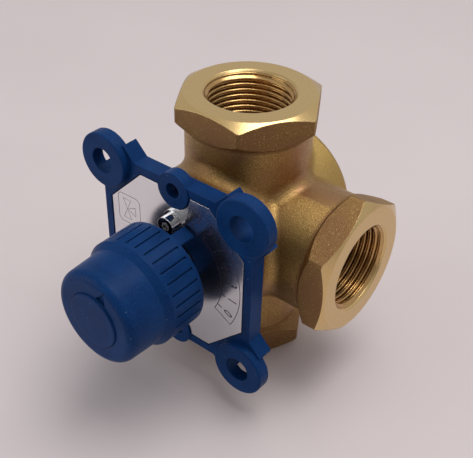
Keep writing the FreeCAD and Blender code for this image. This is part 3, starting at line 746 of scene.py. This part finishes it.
@dataclass(frozen=True)
class PlatedSteel(Finish):
    """Bright plated screws and washers."""

    name: ClassVar[str] = "bright_plating"
    dark: Colour = (0.50, 0.50, 0.52, 1.0)
    pale: Colour = (0.74, 0.74, 0.75, 1.0)
    edge_radius: float = 0.25 * MM
    grain_scale: float = 900.0
    grain_depth: float = 0.02 * MM
    grain_strength: float = 0.08
    cloud_scale: float = 300.0
    rough: Span = (0.1, 0.2)

    def dress(self, graph: Graph, shader: bpy.types.NodeInputs) -> None:
        """Smooth gloss with faint clouds.

        Args:
            graph: The material's graph.
            shader: The sockets of its shader.
        """
        edges = graph.group(Effect.EDGES, Radius=self.edge_radius).outputs
        grain = graph.group(Effect.GRAIN, Scale=self.grain_scale, Clouds=self.cloud_scale).outputs
        graph.feed(shader["Base Color"], graph.mix(grain["Cloud"], self.dark, self.pale))
        shader["Metallic"].default_value = 1.0
        graph.feed(shader["Roughness"], graph.ramp(grain["Cloud"], NOISE_SPAN, self.rough))
        plated = graph.bump(grain["Height"], self.grain_strength, self.grain_depth, edges["Normal"])
        graph.feed(shader["Normal"], plated)


@dataclass(frozen=True)
class TurnedSteel(Finish):
    """Stainless steel turned on a lathe."""

    name: ClassVar[str] = "turned_steel"
    dark: Colour = (0.42, 0.42, 0.42, 1.0)
    pale: Colour = (0.62, 0.61, 0.60, 1.0)
    edge_radius: float = 0.2 * MM
    ring_spacing: float = 0.15 * MM
    ring_depth: float = 0.02 * MM
    ring_strength: float = 0.2
    rough: Span = (0.24, 0.36)

    def dress(self, graph: Graph, shader: bpy.types.NodeInputs) -> None:
        """Rings along the spindle axis.

        Args:
            graph: The material's graph.
            shader: The sockets of its shader.
        """
        edges = graph.group(Effect.EDGES, Radius=self.edge_radius).outputs
        _, along, _ = graph.parts(graph.place())
        rings = graph.group(Effect.TURNING, Distance=along, Spacing=self.ring_spacing).outputs
        graph.feed(shader["Base Color"], graph.mix(rings["Height"], self.dark, self.pale))
        shader["Metallic"].default_value = 1.0
        graph.feed(shader["Roughness"], graph.ramp(rings["Height"], NOISE_SPAN, self.rough))
        marks = graph.bump(rings["Height"], self.ring_strength, self.ring_depth, edges["Normal"])
        graph.feed(shader["Normal"], marks)


@dataclass(frozen=True)
class Moulding(Finish):
    """Plain moulded or turned polymer, such as rubber or bearing plastic."""

    name: str
    dark: Colour
    pale: Colour
    rough: float
    edge_radius: float = 0.15 * MM
    grain_scale: float = 1800.0
    grain_depth: float = 0.04 * MM
    grain_strength: float = 0.2
    cloud_scale: float = 150.0

    def dress(self, graph: Graph, shader: bpy.types.NodeInputs) -> None:
        """Slow clouds and a fine grain.

        Args:
            graph: The material's graph.
            shader: The sockets of its shader.
        """
        edges = graph.group(Effect.EDGES, Radius=self.edge_radius).outputs
        grain = graph.group(Effect.GRAIN, Scale=self.grain_scale, Clouds=self.cloud_scale).outputs
        graph.feed(shader["Base Color"], graph.mix(grain["Cloud"], self.dark, self.pale))
        shader["Roughness"].default_value = self.rough
        moulded = graph.bump(grain["Height"], self.grain_strength, self.grain_depth, edges["Normal"])
        graph.feed(shader["Normal"], moulded)


@dataclass(frozen=True)
class ScaleInk(Finish):
    """Dark printing ink on the scale plate."""

    name: ClassVar[str] = "scale_ink"
    thin: Colour = (0.035, 0.027, 0.085, 1.0)
    full: Colour = (0.012, 0.010, 0.035, 1.0)
    cloud_scale: float = 900.0
    cloud_detail: float = 3.0
    rough: Span = (0.4, 0.6)

    def dress(self, graph: Graph, shader: bpy.types.NodeInputs) -> None:
        """Ink of slightly uneven thickness.

        Args:
            graph: The material's graph.
            shader: The sockets of its shader.
        """
        cloud = graph.noise(graph.place(), self.cloud_scale, self.cloud_detail)
        graph.feed(shader["Base Color"], graph.mix(cloud, self.thin, self.full))
        graph.feed(shader["Roughness"], graph.ramp(cloud, NOISE_SPAN, self.rough))


@dataclass(frozen=True)
class TableTop(Finish):
    """Pale smooth table under the valve."""

    name: ClassVar[str] = "pale_table"
    dark: Colour = (0.620, 0.555, 0.565, 1.0)
    pale: Colour = (0.675, 0.607, 0.617, 1.0)
    cloud_scale: float = 9.0
    cloud_detail: float = 4.0
    rough: Span = (0.42, 0.5)
    specular: float = 0.3

    def dress(self, graph: Graph, shader: bpy.types.NodeInputs) -> None:
        """Very faint clouds and a low sheen.

        Args:
            graph: The material's graph.
            shader: The sockets of its shader.
        """
        cloud = graph.noise(graph.place(), self.cloud_scale, self.cloud_detail)
        graph.feed(shader["Base Color"], graph.mix(cloud, self.dark, self.pale))
        graph.feed(shader["Roughness"], graph.ramp(cloud, NOISE_SPAN, self.rough))
        shader["Specular IOR Level"].default_value = self.specular


BLACK_RUBBER = Moulding("seal_rubber", (0.012, 0.012, 0.012, 1.0), (0.03, 0.03, 0.03, 1.0), 0.6)
BEARING_PLASTIC = Moulding("bearing_plastic", (0.72, 0.71, 0.66, 1.0), (0.82, 0.81, 0.77, 1.0), 0.45)

NODE_FINISHES: dict[str, Finish] = {
    "valve_body": CastBrass(),
    "bonnet": TurnedBrass(),
    "rotor": TurnedBrass(),
    "bonnet_o_ring": BLACK_RUBBER,
    "inner_spindle_o_ring": BLACK_RUBBER,
    "outer_spindle_o_ring": BLACK_RUBBER,
    "spindle_bush": BEARING_PLASTIC,
    "rear_bush": BEARING_PLASTIC,
    "thrust_washer": BEARING_PLASTIC,
    "spindle": TurnedSteel(),
    "retaining_ring": TurnedSteel(),
    "knob_screw": TurnedSteel(),
    "knob_screw_washer": TurnedSteel(),
    "mounting_plate": BluePlastic(),
    "knob": BluePlastic(),
    "knob_cap": BluePlastic(),
    "scale_plate": PolishedAluminium(),
    "plate_screws": PlatedSteel(),
    "plate_washers": PlatedSteel(),
}


# Pieces

def new_object(name: str, data: bpy.types.ID) -> bpy.types.Object:
    """Put an object into the scene.

    Args:
        name: The object's name.
        data: Its mesh, text, light or camera.

    Returns:
        The new object.
    """
    made = bpy.data.objects.new(name, data)
    bpy.context.scene.collection.objects.link(made)
    return made


def new_mesh(mesh: bmesh.types.BMesh, name: str) -> bpy.types.Mesh:
    """Turn closed faces into mesh data.

    Args:
        mesh: The faces, which are given up.
        name: The name of the data.

    Returns:
        The new mesh data.
    """
    bmesh.ops.recalc_face_normals(mesh, faces=mesh.faces)
    data = bpy.data.meshes.new(name)
    mesh.to_mesh(data)
    mesh.free()
    return data


def join_to_housing(piece: bpy.types.Object, finish: Finish) -> None:
    """Dress a new piece and let it ride on the housing.

    Args:
        piece: The piece, in place.
        finish: Its finish.
    """
    piece.data.materials.append(finish.material())
    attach(piece, HOUSING)
    log.info("%s is in place", piece.name)


class Port(Enum):
    """The three ports, by the names of their mounts."""

    TOP = "top_port"
    SIDE = "side_port"
    BOTTOM = "bottom_port"

    @property
    def axis(self) -> Vector:
        """The direction out of the port."""
        return Vector(MOUNTS[self.value]["axis"])

    @property
    def radius(self) -> float:
        """The thread's major radius."""
        return MOUNTS[self.value]["dims"]["r_mm"] * MM

    @property
    def length(self) -> float:
        """The length of the threaded wall."""
        return MOUNTS[self.value]["dims"]["length_mm"] * MM

    @property
    def mouth(self) -> Vector:
        """The middle of the port's face.

        Returns:
            The point where the port's axis meets the end of the casting.
        """
        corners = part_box("valve_body")
        reach = max((corner - SPINDLE_MIDDLE).dot(self.axis) for corner in corners)
        return SPINDLE_MIDDLE + self.axis * reach


@dataclass
class PipeThread:
    """Parallel female pipe thread cut into a port."""

    slot: ClassVar[str] = "cast_brass"
    port: Port
    pitch: float = 2.309 * MM
    depth: float = 1.479 * MM
    flank_share: float = 0.55
    mouth_chamfer: float = 0.8 * MM
    skin: float = 0.06 * MM
    seat_gap: float = 0.01 * MM
    runout: float = 2.2 * MM
    columns: int = 120
    rows_per_turn: int = 12

    def ridge(self, phase: float) -> float:
        """Height of the ridge over its root, as a share of the depth.

        Args:
            phase: Place across one turn, a whole number at the root.

        Returns:
            From 0 at the root to 1 at the crest.
        """
        straight = 1.0 - abs(2.0 * (phase % 1.0) - 1.0)
        rounded = (1.0 - math.cos(math.tau * phase)) / 2
        return self.flank_share * straight + (1.0 - self.flank_share) * rounded

    def radius_at(self, down: float, turn: float, end: float) -> float:
        """Radius of the cut surface.

        Args:
            down: Distance below the port's face.
            turn: Place around the port, from 0 to 1.
            end: Distance below the face at which the thread ends.

        Returns:
            The radius there, in metres.
        """
        wall = self.port.radius - self.skin
        fading = min(1.0, max(0.0, (end - down) / self.runout))
        cut = wall - self.depth * fading * self.ridge(down / self.pitch + turn)
        lead_in = self.port.radius + self.mouth_chamfer - down
        return min(max(cut, lead_in), wall)

    def spoke(self, turn: float) -> Vector:
        """Direction from the port's axis to its wall.

        Args:
            turn: Place around the port, from 0 to 1.

        Returns:
            The direction, of length 1.
        """
        side = self.port.axis.orthogonal().normalized()
        other = self.port.axis.cross(side)
        return side * math.cos(math.tau * turn) + other * math.sin(math.tau * turn)

    def build_mesh(self) -> bpy.types.Mesh:
        """The thread as a closed sleeve that lines the port.

        Returns:
            The sleeve's mesh.
        """
        start = self.mouth_chamfer + self.skin
        end = self.mouth_chamfer + self.port.length - self.skin
        rows = round((end - start) / self.pitch * self.rows_per_turn)
        turns = [column / self.columns for column in range(self.columns)]
        sections = []
        for row in range(rows + 1):
            down = start + (end - start) * row / rows
            sections.append((down, [self.radius_at(down, turn, end) for turn in turns]))
        outside = [self.port.radius - self.seat_gap] * self.columns
        sections += [(end, outside), (start, outside)]

        mesh = bmesh.new()
        mouth = self.port.mouth
        spokes = [self.spoke(turn) for turn in turns]
        loops = []
        for down, radii in sections:
            middle = mouth - self.port.axis * down
            loops.append([mesh.verts.new(middle + spoke * far) for spoke, far in zip(spokes, radii)])
        for number, first in enumerate(loops):
            second = loops[(number + 1) % len(loops)]
            for column in range(self.columns):
                after = (column + 1) % self.columns
                face = mesh.faces.new((first[column], first[after], second[after], second[column]))
                face.smooth = number < rows
        return new_mesh(mesh, f"{self.port.value}_thread")

    def build(self) -> None:
        """Cut the thread into its port."""
        data = self.build_mesh()
        join_to_housing(new_object(data.name, data), TurnedBrass())


@dataclass
class ScalePrint:
    """Printed band with ticks and numbers, and a plain valve sign, on the scale plate."""

    slot: ClassVar[str] = "polished_aluminium"
    inner_radius: float = 21.8 * MM
    outer_radius: float = 30.2 * MM
    tick_length: float = 2.2 * MM
    tick_width: float = 0.42 * MM
    digit_radius: float = 26.9 * MM
    digit_height: float = 3.8 * MM
    digit_share: float = 0.7
    digit_narrowing: float = 0.72
    digit_weight: float = 0.05 * MM
    first_angle: float = -22.5
    angle_step: float = 15.0
    end_margin: float = 0.5
    arc_steps: int = 48
    line_width: float = 0.28 * MM
    ink: float = 0.015 * MM
    numbers: tuple[str, ...] = ("0", "1", "3", "5", "7", "9", "10")
    sign_middle: FlatPoint = (-22.6 * MM, 13.2 * MM)
    sign_width: float = 11.0 * MM
    sign_height: float = 12.5 * MM
    sign_corner: float = 2.0 * MM
    sign_line: float = 0.196 * MM
    corner_steps: int = 6
    crossing_shift: float = 1.05 * MM
    way_length: float = 4.2 * MM
    way_half: float = 1.9 * MM

    def angle(self, number: float) -> float:
        """Angle of a mark, in radians from the side port's direction."""
        return math.radians(self.first_angle + self.angle_step * number)

    @staticmethod
    def polar(radius: float, angle: float) -> FlatPoint:
        """A point on the plate at a distance and direction from the spindle."""
        return radius * math.cos(angle), radius * math.sin(angle)

    @staticmethod
    def on_plate(point: FlatPoint, lift: float) -> Vector:
        """A point on the plate's front.

        Args:
            point: Offsets from the spindle, along the side port and up.
            lift: Height over the plate.

        Returns:
            The point in the frame that all pieces share.
        """
        across, up = point
        return Vector((SPINDLE_MIDDLE.x + across, PLATE_FRONT - lift, SPINDLE_MIDDLE.z + up))

    def arc(self, radius: float, start: float, end: float) -> list[FlatPoint]:
        """Points along an arc about the spindle.

        Args:
            radius: The arc's radius.
            start: The mark number at which it starts.
            end: The mark number at which it ends.

        Returns:
            The points in order.
        """
        stride = (end - start) / self.arc_steps
        marks = [start + stride * step for step in range(self.arc_steps + 1)]
        return [self.polar(radius, self.angle(mark)) for mark in marks]

    def spoke(self, number: float, start: float, end: float) -> list[FlatPoint]:
        """Two points in the direction of a mark, at these distances from the spindle."""
        return [self.polar(radius, self.angle(number)) for radius in (start, end)]

    def stroke(
        self, mesh: bmesh.types.BMesh, points: Sequence[FlatPoint], width: float, closed: bool = False
    ) -> None:
        """Add one printed line as a thin closed strip.

        Args:
            mesh: The mesh that takes it.
            points: The line's points.
            width: The line's width.
            closed: Whether the last point joins the first.
        """
        count = len(points)
        sections = []
        for number, point in enumerate(points):
            before = points[number - 1] if closed or number else point
            after = points[(number + 1) % count] if closed or number + 1 < count else point
            along = Vector((after[0] - before[0], after[1] - before[1])).normalized()
            aside = Vector((-along.y, along.x)) * width / 2
            section = []
            for sign, lift in ((1, 0.0), (1, self.ink), (-1, self.ink), (-1, 0.0)):
                corner = (point[0] + sign * aside.x, point[1] + sign * aside.y)
                section.append(mesh.verts.new(self.on_plate(corner, lift)))
            sections.append(section)
        followers = sections[1:] + sections[:1] if closed else sections[1:]
        for first, second in zip(sections, followers):
            for corner in range(len(first)):
                after = (corner + 1) % len(first)
                mesh.faces.new((first[corner], first[after], second[after], second[corner]))
        if not closed:
            mesh.faces.new(sections[0])
            mesh.faces.new(sections[-1][::-1])

    def print_lines(self, mesh: bmesh.types.BMesh, name: str) -> None:
        """Turn printed lines into a piece on the housing.

        Args:
            mesh: The lines, which are given up.
            name: The piece's name.
        """
        join_to_housing(new_object(name, new_mesh(mesh, name)), ScaleInk())

    def build_band(self) -> None:
        """Print the outline of the scale band and its ticks."""
        mesh = bmesh.new()
        first = -self.end_margin
        last = len(self.numbers) - 1 + self.end_margin
        self.stroke(mesh, self.arc(self.outer_radius, first, last), self.line_width)
        self.stroke(mesh, self.arc(self.inner_radius, last, first), self.line_width)
        for end in (first, last):
            self.stroke(mesh, self.spoke(end, self.inner_radius, self.outer_radius), self.line_width)
        tick_end = self.inner_radius + self.tick_length
        for number in range(len(self.numbers)):
            self.stroke(mesh, self.spoke(number, self.inner_radius, tick_end), self.tick_width)
        self.print_lines(mesh, "scale_band")

    def build_numbers(self) -> None:
        """Print the numbers, upright along the radius."""
        for place, text in enumerate(self.numbers):
            data = bpy.data.curves.new(f"scale_number_{text}", "FONT")
            data.body = text
            data.size = self.digit_height / self.digit_share
            data.extrude = self.ink / 2
            data.offset = self.digit_weight
            data.align_x = "CENTER"
            data.align_y = "CENTER"
            angle = self.angle(place)
            up = Vector((math.cos(angle), 0.0, math.sin(angle)))
            right = Vector((math.sin(angle), 0.0, -math.cos(angle)))
            turn = Matrix((right * self.digit_narrowing, up, right.cross(up))).transposed().to_4x4()
            middle = self.on_plate(self.polar(self.digit_radius, angle), self.ink / 2)
            piece = new_object(data.name, data)
            piece.matrix_world = Matrix.Translation(middle) @ turn
            join_to_housing(piece, ScaleInk())

    def sign_frame(self) -> list[FlatPoint]:
        """The round-cornered frame of the valve sign.

        Returns:
            The points of its outline in order.
        """
        middle_x, middle_z = self.sign_middle
        reach_x = self.sign_width / 2 - self.sign_corner
        reach_z = self.sign_height / 2 - self.sign_corner
        outline = []
        for quarter, (sign_x, sign_z) in enumerate(((1, 1), (-1, 1), (-1, -1), (1, -1))):
            for step in range(self.corner_steps + 1):
                angle = (quarter + step / self.corner_steps) * math.pi / 2
                round_x, round_z = self.polar(self.sign_corner, angle)
                point = (middle_x + sign_x * reach_x + round_x, middle_z + sign_z * reach_z + round_z)
                outline.append(point)
        return outline

    def build_sign(self) -> None:
        """Print the usual drawing sign of a three-way valve in its frame."""
        mesh = bmesh.new()
        self.stroke(mesh, self.sign_frame(), self.sign_line, closed=True)
        middle_x, middle_z = self.sign_middle
        crossing = (middle_x - self.crossing_shift, middle_z)
        for way_x, way_z in ((0, 1), (0, -1), (1, 0)):
            far_x = crossing[0] + way_x * self.way_length
            far_z = crossing[1] + way_z * self.way_length
            wing_x = way_z * self.way_half
            wing_z = way_x * self.way_half
            triangle = [crossing, (far_x + wing_x, far_z - wing_z), (far_x - wing_x, far_z + wing_z)]
            self.stroke(mesh, triangle, self.line_width, closed=True)
        self.print_lines(mesh, "valve_sign")

    def build(self) -> None:
        """Print everything."""
        self.build_band()
        self.build_numbers()
        self.build_sign()


# Stage

@dataclass(frozen=True)
class Softbox:
    """Square soft light that faces the valve."""

    name: str
    offset: Place
    size: float
    power: float
    tint: tuple[float, float, float]

    def build(self) -> None:
        """Hang the light at its offset from the middle of the spindle."""
        data = bpy.data.lights.new(self.name, "AREA")
        data.shape = "SQUARE"
        data.size = self.size
        data.energy = self.power
        data.color = self.tint
        lamp = new_object(self.name, data)
        away = Vector(self.offset)
        lamp.location = SPINDLE_MIDDLE + away
        lamp.rotation_euler = (-away).to_track_quat("-Z", "Y").to_euler()


CEILING_LIGHT = Softbox("ceiling_light", (0.22, 0.16, 1.1), 0.72, 7.2, (1.0, 0.98, 0.96))
FRONT_LIGHT = Softbox("front_light", (-0.85, -1.1, 0.3), 0.9, 6.0, (1.0, 0.99, 0.98))


@dataclass
class Studio:
    """Table, soft light and camera."""

    table_half: float = 4.0
    azimuth: float = 37.94
    elevation: float = 36.43
    roll: float = 1.62
    camera_place: Place = (158.47 * MM, -209.06 * MM, 239.44 * MM)
    lens: float = 61.29
    sensor: float = 36.0
    nearest: float = 10.0 * MM
    room_front: Colour = (0.20, 0.20, 0.205, 1.0)
    room_back: Colour = (0.58, 0.57, 0.57, 1.0)
    room_span: Span = (-0.7, 0.8)
    room_rise: float = 0.9

    def build_table(self) -> None:
        """A plain table that the valve stands on."""
        half = self.table_half
        corners = [(-half, -half, 0.0), (half, -half, 0.0), (half, half, 0.0), (-half, half, 0.0)]
        data = bpy.data.meshes.new("table")
        data.from_pydata(corners, [], [tuple(range(len(corners)))])
        data.materials.append(TableTop().material())
        table = new_object("table", data)

    def build_room(self) -> None:
        """A plain room that is lighter above and behind the valve than in front of it."""
        world = bpy.data.worlds.new("room")
        world.use_nodes = True
        graph = Graph(world.node_tree)
        _, depth, height = graph.parts(graph.node("ShaderNodeTexCoord").outputs["Generated"])
        lit = graph.math("ADD", depth, graph.times(height, self.room_rise))
        walls = graph.mix(graph.ramp(lit, self.room_span), self.room_front, self.room_back)
        graph.feed(world.node_tree.nodes["Background"].inputs["Color"], walls)
        bpy.context.scene.world = world

    def build_camera(self) -> None:
        """The camera, at the photograph's place and tilt."""
        azimuth = math.radians(self.azimuth)
        elevation = math.radians(self.elevation)
        roll = math.radians(self.roll)
        level = math.cos(elevation)
        back = Vector((math.sin(azimuth) * level, -math.cos(azimuth) * level, math.sin(elevation)))
        right = Vector((0.0, 0.0, 1.0)).cross(back).normalized()
        up = back.cross(right)
        tilted_right = right * math.cos(roll) + up * math.sin(roll)
        tilted_up = up * math.cos(roll) - right * math.sin(roll)
        data = bpy.data.cameras.new("camera")
        data.lens = self.lens
        data.sensor_width = self.sensor
        data.sensor_fit = "HORIZONTAL"
        data.clip_start = self.nearest
        camera = new_object("camera", data)
        turn = Matrix((tilted_right, tilted_up, back)).transposed().to_4x4()
        camera.matrix_world = Matrix.Translation(Vector(self.camera_place)) @ turn
        bpy.context.scene.camera = camera

    def build(self) -> None:
        """Set the stage."""
        bpy.context.scene.view_settings.view_transform = "Standard"
        self.build_table()
        CEILING_LIGHT.build()
        FRONT_LIGHT.build()
        self.build_room()
        self.build_camera()


def dress_nodes() -> None:
    """Give each CAD node its finish."""
    for name, finish in NODE_FINISHES.items():
        node = frame["nodes"][name]
        for place in node.material_slots:
            place.material = finish.material()
        log.info("%s is dressed as %s", name, finish.name)


def main() -> None:
    """Build the looks in order."""
    logging.basicConfig(level=logging.INFO, format="%(name)s: %(message)s")
    dress_nodes()
    for port in Port:
        PipeThread(port).build()
    ScalePrint().build()
    Studio().build()


if __name__ == "__main__":
    main()
